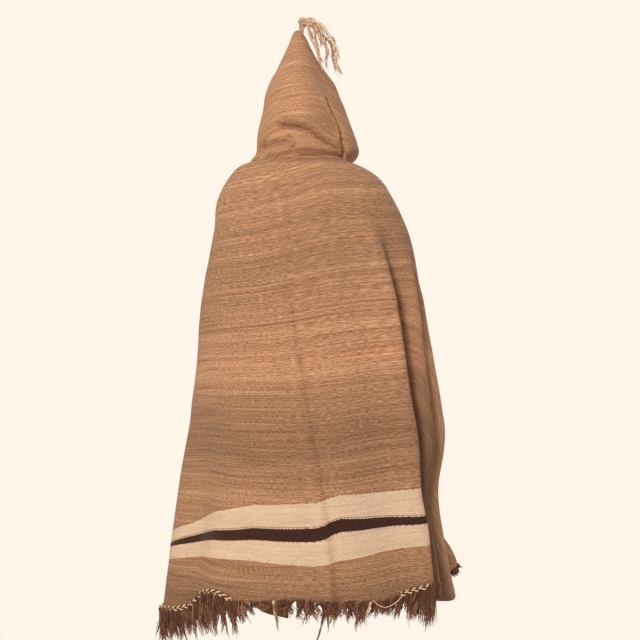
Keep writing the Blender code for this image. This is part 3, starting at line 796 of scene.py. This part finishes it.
# The hood's neck edge is turned in behind the body's.
tuck = hood_grid[-1:] * (0.965, 0.965, 1.0) - (0.0, 0.0, 0.009)
hood_grid = np.concatenate([hood_grid, tuck])
hood_u, hood_v = np.concatenate([hood_u, hood_u[-1:]]), np.concatenate([hood_v, hood_v[-1:] - 0.009])
hood = cloth("cloak_hood", "hood", hood_grid, hood_u, hood_v, np.zeros((*hood_u.shape, 4)), hood_wool)

# ---------------------------------------------------------------------------- fringe

fringe_wool = yarn_material(
    "fringe wool",
    (
        (0.0, (0.070, 0.022, 0.012)),
        (0.55, (0.135, 0.048, 0.025)),
        (0.9, (0.25, 0.11, 0.06)),
        (1.0, (0.66, 0.43, 0.285)),
    ),
    (0.28, 0.130, 0.070),
)

# How the fringe changes round the hem: yarns in a lock, how far they spread, curl, and share of locks left.
LockRow = namedtuple("LockRow", "angle yarns spread curl kept")
LOCKS = (
    LockRow(-107, 18, 0.0056, 0.004, 1.00),
    LockRow(-36, 18, 0.0056, 0.004, 1.00),
    LockRow(-30, 13, 0.0042, 0.009, 0.84),
    LockRow(40, 13, 0.0042, 0.009, 0.84),
    LockRow(48, 17, 0.0056, 0.004, 1.00),
    LockRow(112, 12, 0.0040, 0.003, 1.00),
)

# Locks that stand out from the rest. Tint is as in the fringe wool's colours.
OddLock = namedtuple("OddLock", "name angle reach yarns tint sway")
ODD_LOCKS = (
    OddLock("long strand", 11.0, 0.118, 5, 0.30, 0.006),
    OddLock("long strand beside it", 13.0, 0.100, 4, 0.55, -0.004),
    OddLock("pale tuft", -15.5, 0.066, 9, 1.00, -0.010),
    OddLock("pale tuft end", -14.0, 0.090, 5, 0.90, -0.006),
    OddLock("brown lock", 27.0, 0.074, 12, 0.78, 0.012),
    OddLock("pale lock", 33.5, 0.066, 10, 1.00, 0.014),
    OddLock("curled lock", 24.0, 0.050, 8, 0.60, -0.016),
    OddLock("stray at the right", 51.0, 0.096, 4, 0.85, 0.012),
    OddLock("right end", 58.0, 0.118, 8, 0.50, -0.014),
    OddLock("right end, outer", 59.0, 0.130, 4, 0.70, -0.022),
    OddLock("left end", -78.0, 0.118, 6, 0.60, 0.016),
)


def lock(root, down, reach, count, spread, curl, tint=None):
    """A pointed lock of the fringe: yarns that start side by side and end together."""
    made = []
    tip = down * reach + rng.normal(0.0, 1.0, 3) * (0.009, 0.004, 0.0)
    phase = rng.uniform(0.0, 2 * math.pi, 2)
    turns = rng.uniform(3.5, 7.5)
    tone = rng.uniform(0.05, 0.85)
    for _ in range(count):
        start = root + rng.normal(0.0, 1.0, 3) * (spread, spread * 0.4, 0.0012)
        own = rng.uniform(0.60, 1.05)
        s = np.linspace(0.0, 1.0, 9)[:, None]
        gather = (root - start) * s**1.2 * 0.9
        circle = np.concatenate([np.sin(s * turns + phase[0]), np.cos(s * turns + phase[1]), 0 * s], 1)
        sway = circle * curl * s
        wild = rng.normal(0.0, 1.0, 3) * (0.0026, 0.0026, 0.002) * (3.0 if rng.random() < 0.1 else 1.0)
        points = start + gather + tip * own * s + sway + wild * s**2
        radii = rng.uniform(0.0011, 0.0019) * (1.0 - 0.78 * s[:, 0] ** 1.4)
        own_tint = float(np.clip(tone + rng.normal(0.0, 0.16), 0.0, 0.92)) if tint is None else tint
        made.append((points, radii, own_tint))
    return made


def hem_place(angle):
    """A point of the hem, and the way in from there."""
    a = math.radians(angle)
    return body_points(np.array([[angle]]), np.ones((1, 1)))[0, 0], np.array([math.sin(a), -math.cos(a), 0.0])


FRINGE_SPACING = 0.0057  # from one lock to the next, along the hem
CORNER_SPACING = 0.0045
FRINGE_LEAN = 0.12  # how far a lock leans in under the cloak on average, for each metre of its fall
LOCK_LENGTHS = (0.70, 0.85, 0.95, 1.00, 1.08)  # of the fringe's reach


def fringe_guides(rows, spacing):
    first, last = rows[0].angle, rows[-1].angle
    fine = np.linspace(first, last, 1500)
    hem = body_points(fine[None, :], np.ones((1, 1)))[0]
    along = np.concatenate([[0.0], np.cumsum(np.linalg.norm(np.diff(hem, axis=0), axis=1))])
    made = []
    for place in np.arange(spacing / 2, along[-1], spacing):
        place += rng.normal(0.0, spacing * 0.3)
        root = np.array([np.interp(place, along, hem[:, k]) for k in range(3)])
        angle = float(np.interp(place, along, fine))
        yarns, spread, curl, kept = (
            float(np.interp(angle, column(LOCKS, "angle"), column(LOCKS, name)))
            for name in LockRow._fields[1:]
        )
        if rng.random() > kept:
            continue
        a = math.radians(angle)
        inward = np.array([math.sin(a), -math.cos(a), 0.0])
        reach = float(through(column(rows, "angle"), column(rows, "reach"), angle))
        reach *= rng.choice(LOCK_LENGTHS) * rng.uniform(0.94, 1.06)
        down = np.array([0.0, 0.0, -1.0]) + inward * rng.normal(FRINGE_LEAN, 0.035)
        made += lock(root + inward * 0.0012 + (0, 0, 0.004), down, reach, int(yarns), spread, curl)
    return made


guides = fringe_guides(FRINGE, FRINGE_SPACING)
for odd in ODD_LOCKS:
    root, inward = hem_place(odd.angle)
    down = np.array([odd.sway / odd.reach, 0.0, -1.0]) + inward * FRINGE_LEAN
    guides += lock(root - inward * 0.002 + (0, 0, 0.003), down, odd.reach, odd.yarns, 0.0024, 0.004, odd.tint)
fringe = strands("fringe_yarns", guides, 4, fringe_wool, "fringe_back")
guides = fringe_guides(CORNER_FRINGE, CORNER_SPACING)
corner = strands("fringe_corner_yarns", guides, 4, fringe_wool, "fringe_corner")

# ---------------------------------------------------------------------------- twined edging

cream_yarn = yarn_material("cream yarn", ((0.0, (0.60, 0.38, 0.235)), (1.0, (0.74, 0.52, 0.35))))
brown_yarn = yarn_material("dark yarn", ((0.0, (0.060, 0.022, 0.014)), (1.0, (0.095, 0.036, 0.024))))


def twined(path, radius, pitch, material_pair, name, node, hand):
    """Two yarns turned round each other along the path, one of each colour. hand is +1 or -1."""
    steps = np.linalg.norm(np.diff(path, axis=0), axis=1)
    along = np.concatenate([[0.0], np.cumsum(steps)])
    places = np.arange(0.0, along[-1], 0.0011)
    middle = np.stack([np.interp(places, along, path[:, k]) for k in range(3)], -1)
    line = np.gradient(middle, axis=0)
    line /= np.linalg.norm(line, axis=1, keepdims=True)
    up = np.cross(np.cross(line, (0, 0, 1)), line)
    up /= np.linalg.norm(up, axis=1, keepdims=True)
    out = np.cross(line, up)
    objects = []
    for k, (material, colour) in enumerate(material_pair):
        turn = hand * 2 * math.pi * places / pitch + math.pi * k
        points = middle + radius * (np.cos(turn)[:, None] * up + np.sin(turn)[:, None] * out)
        radii = np.full(len(places), radius * 1.02)
        obj = strands(f"{name}_{colour}", [(points, radii, 0.5)], 6, material, node)
        objects.append(obj)
    return objects


EDGING_RADIUS = 0.0021  # from a cord's middle to the middle of each of its yarns
EDGING_PITCH = 0.0185
EDGING_OUT = 0.0026  # from the cloth's outer face to the cords' middle

edgings = []
for name, (first, last) in EDGINGS.items():
    angles = np.linspace(first, last, 220)
    hem = body_points(angles[None, :], np.ones((1, 1)))[0]
    along = np.gradient(hem[:, :2], axis=0)
    along /= np.linalg.norm(along, axis=1, keepdims=True)
    for row, (hand, rise) in {"lower": (1, 0.0026), "upper": (-1, 0.0078)}.items():
        path = hem.copy()
        path[:, :2] += np.stack([along[:, 1], -along[:, 0]], -1) * EDGING_OUT
        path[:, 2] += rise
        colours = ((cream_yarn, "cream"), (brown_yarn, "brown"))
        edgings += twined(path, EDGING_RADIUS, EDGING_PITCH, colours, f"{name}_{row}", name, hand)

# A loose end of the cream yarn, where the edging has worn away.
LOOSE_YARN = ((34.5, 0.008), (37.0, -0.004), (40.5, -0.013), (45.0, -0.008), (48.0, 0.004))
loose = []
for angle, drop in LOOSE_YARN:
    root, inward = hem_place(angle)
    loose.append(root - inward * 0.005 + (0.0, 0.0, drop))
loose = np.array(loose)
s = np.linspace(0.0, len(loose) - 1.0, 60)
loose = np.stack([through(np.arange(len(loose)), loose[:, k], s) for k in range(3)], -1)
strand = strands("loose_yarn", [(loose, np.full(60, 0.0013), 0.6)], 5, cream_yarn)
edgings.append(strand)

# ---------------------------------------------------------------------------- tassel

tassel_wool = yarn_material(
    "tassel wool", ((0.0, (0.33, 0.19, 0.125)), (0.6, (0.50, 0.32, 0.22)), (1.0, (0.74, 0.56, 0.42)))
)

# Each cord leaves the tip, passes near its top point and falls to its end point. y is its depth.
Cord = namedtuple("Cord", "name top_x top_z mid_x mid_z end_x end_z y radius")
TASSEL = (
    Cord("longest", -0.024, 0.402, -0.073, 0.344, -0.097, 0.254, 0.004, 0.0037),
    Cord("beside the longest", -0.020, 0.397, -0.068, 0.340, -0.087, 0.270, -0.006, 0.0037),
    Cord("outer", -0.031, 0.398, -0.080, 0.340, -0.092, 0.302, 0.010, 0.0032),
    Cord("outer short", -0.036, 0.395, -0.074, 0.356, -0.088, 0.318, -0.002, 0.0030),
    Cord("middle", -0.014, 0.396, -0.056, 0.348, -0.058, 0.296, 0.006, 0.0037),
    Cord("middle curled", -0.016, 0.392, -0.050, 0.342, -0.066, 0.306, 0.012, 0.0035),
    Cord("inner", -0.006, 0.394, -0.032, 0.330, -0.046, 0.286, 0.016, 0.0035),
    Cord("along the hood", -0.004, 0.390, -0.024, 0.332, -0.052, 0.262, 0.020, 0.0032),
    Cord("top loop", 0.008, 0.408, -0.016, 0.396, -0.030, 0.374, 0.002, 0.0028),
    Cord("over the knot", 0.004, 0.400, -0.026, 0.372, -0.036, 0.322, 0.010, 0.0034),
    Cord("beside the knot", -0.004, 0.398, -0.038, 0.366, -0.046, 0.334, 0.000, 0.0034),
    Cord("short left", 0.014, 0.396, 0.004, 0.378, 0.014, 0.348, 0.022, 0.0022),
    Cord("thin", -0.026, 0.392, -0.060, 0.330, -0.060, 0.272, 0.000, 0.0015),
)
PLY_PITCH = 0.024  # of the two plies of a tassel cord


def tassel_guides():
    made = []
    root = np.array([0.012, 0.002, 0.362])
    for cord in TASSEL:
        knots = np.array(
            [
                root,
                (cord.top_x * 0.3 + 0.010, cord.y * 0.3, cord.top_z - 0.008),
                (cord.top_x, cord.y * 0.6, cord.top_z),
                (cord.mid_x, cord.y, cord.mid_z),
                (cord.end_x, cord.y, cord.end_z),
            ]
        )
        s = np.linspace(0.0, 4.0, 70)
        path = np.stack([through(np.arange(5.0), knots[:, k], s) for k in range(3)], -1)
        phase = rng.uniform(0.0, 6.0, 3)
        grow = ramp(s, 0.6, 2.0)[:, None]
        wiggle = np.stack(
            [np.sin(s * 5.3 + phase[0]), np.sin(s * 4.1 + phase[1]), np.sin(s * 6.0 + phase[2])], -1
        )
        path = path + wiggle * grow * 0.0022
        line = np.gradient(path, axis=0)
        line /= np.linalg.norm(line, axis=1, keepdims=True)
        across = np.cross(line, (0.0, 1.0, 0.1))
        across /= np.linalg.norm(across, axis=1, keepdims=True)
        third = np.cross(line, across)
        length = np.concatenate([[0.0], np.cumsum(np.linalg.norm(np.diff(path, axis=0), axis=1))])
        for ply in range(2):
            turn = 2 * math.pi * length / PLY_PITCH + math.pi * ply + 0.9 * np.sin(s * 2.7 + phase[0])
            circle = np.cos(turn)[:, None] * across + np.sin(turn)[:, None] * third
            ply_path = path + cord.radius * 0.55 * circle
            taper = cord.radius * 0.66 * (1.0 - 0.35 * ramp(s, 3.4, 4.0))
            made.append((ply_path, taper, rng.uniform(0.0, 1.0)))
        for _ in range(7):
            end = path[-1] + rng.normal(0.0, 1.0, 3) * (0.005, 0.004, 0.004) + (0.0, 0.0, -0.008)
            wisp = path[-6] + (end - path[-6]) * np.linspace(0.0, 1.0, 5)[:, None]
            made.append((wisp, cord.radius * 0.28 * np.linspace(1.0, 0.3, 5), rng.uniform(0.0, 1.0)))
    return made


tassel = strands("tassel_cords", tassel_guides(), 6, tassel_wool, "hood_tassel")

# ---------------------------------------------------------------------------- stage, light and camera

scene = bpy.context.scene
floor_mesh = bpy.data.meshes.new("floor")
disc = [(0.42 * math.cos(a), 0.28 * math.sin(a), -1.44) for a in np.linspace(0.0, 2 * math.pi, 97)[:-1]]
floor_mesh.from_pydata(disc, [], [tuple(range(96))])
floor_material = bpy.data.materials.new("floor")
floor_material.use_nodes = True
floor_shader = floor_material.node_tree.nodes["Principled BSDF"]
floor_shader.inputs["Base Color"].default_value = (0.86, 0.80, 0.74, 1.0)
floor_shader.inputs["Roughness"].default_value = 0.9
floor_mesh.materials.append(floor_material)
floor = bpy.data.objects.new("floor", floor_mesh)
scene.collection.objects.link(floor)

# A pale room: brightest in front of the wearer, and brighter at the wearer's left than right.
world = bpy.data.worlds.new("studio")
world.use_nodes = True
tree = world.node_tree
places = tree.nodes.new("ShaderNodeTexCoord")
split = tree.nodes.new("ShaderNodeSeparateXYZ")
tree.links.new(places.outputs["Generated"], split.inputs[0])
sideways = tree.nodes.new("ShaderNodeMapRange")
across = tree.nodes.new("ShaderNodeMapRange")
for node, source, ends in (
    (sideways, split.outputs[0], (-1.0, 1.0, 0.56, 0.80)),
    (across, split.outputs[1], (-0.75, -0.10, 1.0, 0.0)),
):
    node.interpolation_type = "SMOOTHSTEP"
    tree.links.new(source, node.inputs[0])
    for socket, value in zip(node.inputs[1:5], ends):
        socket.default_value = value
brighter = tree.nodes.new("ShaderNodeMath")
brighter.operation = "MAXIMUM"
tree.links.new(sideways.outputs[0], brighter.inputs[0])
tree.links.new(across.outputs[0], brighter.inputs[1])
background = tree.nodes["Background"]
background.inputs[0].default_value = (1.0, 0.915, 0.815, 1.0)
tree.links.new(brighter.outputs[0], background.inputs[1])
scene.world = world
scene.view_settings.view_transform = "Standard"


def area_light(name, place, target, width, power, colour):
    data = bpy.data.lights.new(name, "AREA")
    data.size = width
    data.energy = power
    data.color = colour
    obj = bpy.data.objects.new(name, data)
    obj.location = place
    obj.rotation_euler = (Vector(target) - Vector(place)).to_track_quat("-Z", "Y").to_euler()
    scene.collection.objects.link(obj)


area_light("key", (0.75, 3.3, 0.6), (0.0, 0.0, -0.45), 0.6, 88.0, (1.0, 0.95, 0.88))
area_light("front fill", (-1.6, -2.6, 0.8), (0.0, 0.0, -0.45), 1.6, 30.0, (1.0, 0.96, 0.92))

camera_data = bpy.data.cameras.new("camera")
camera_data.lens = 56.7
camera_data.sensor_width = 36.0
camera = bpy.data.objects.new("camera", camera_data)
camera.location = (-0.042, 2.8, -0.43)
camera.rotation_euler = (math.pi / 2, 0.0, math.pi)
scene.collection.objects.link(camera)
scene.camera = camera
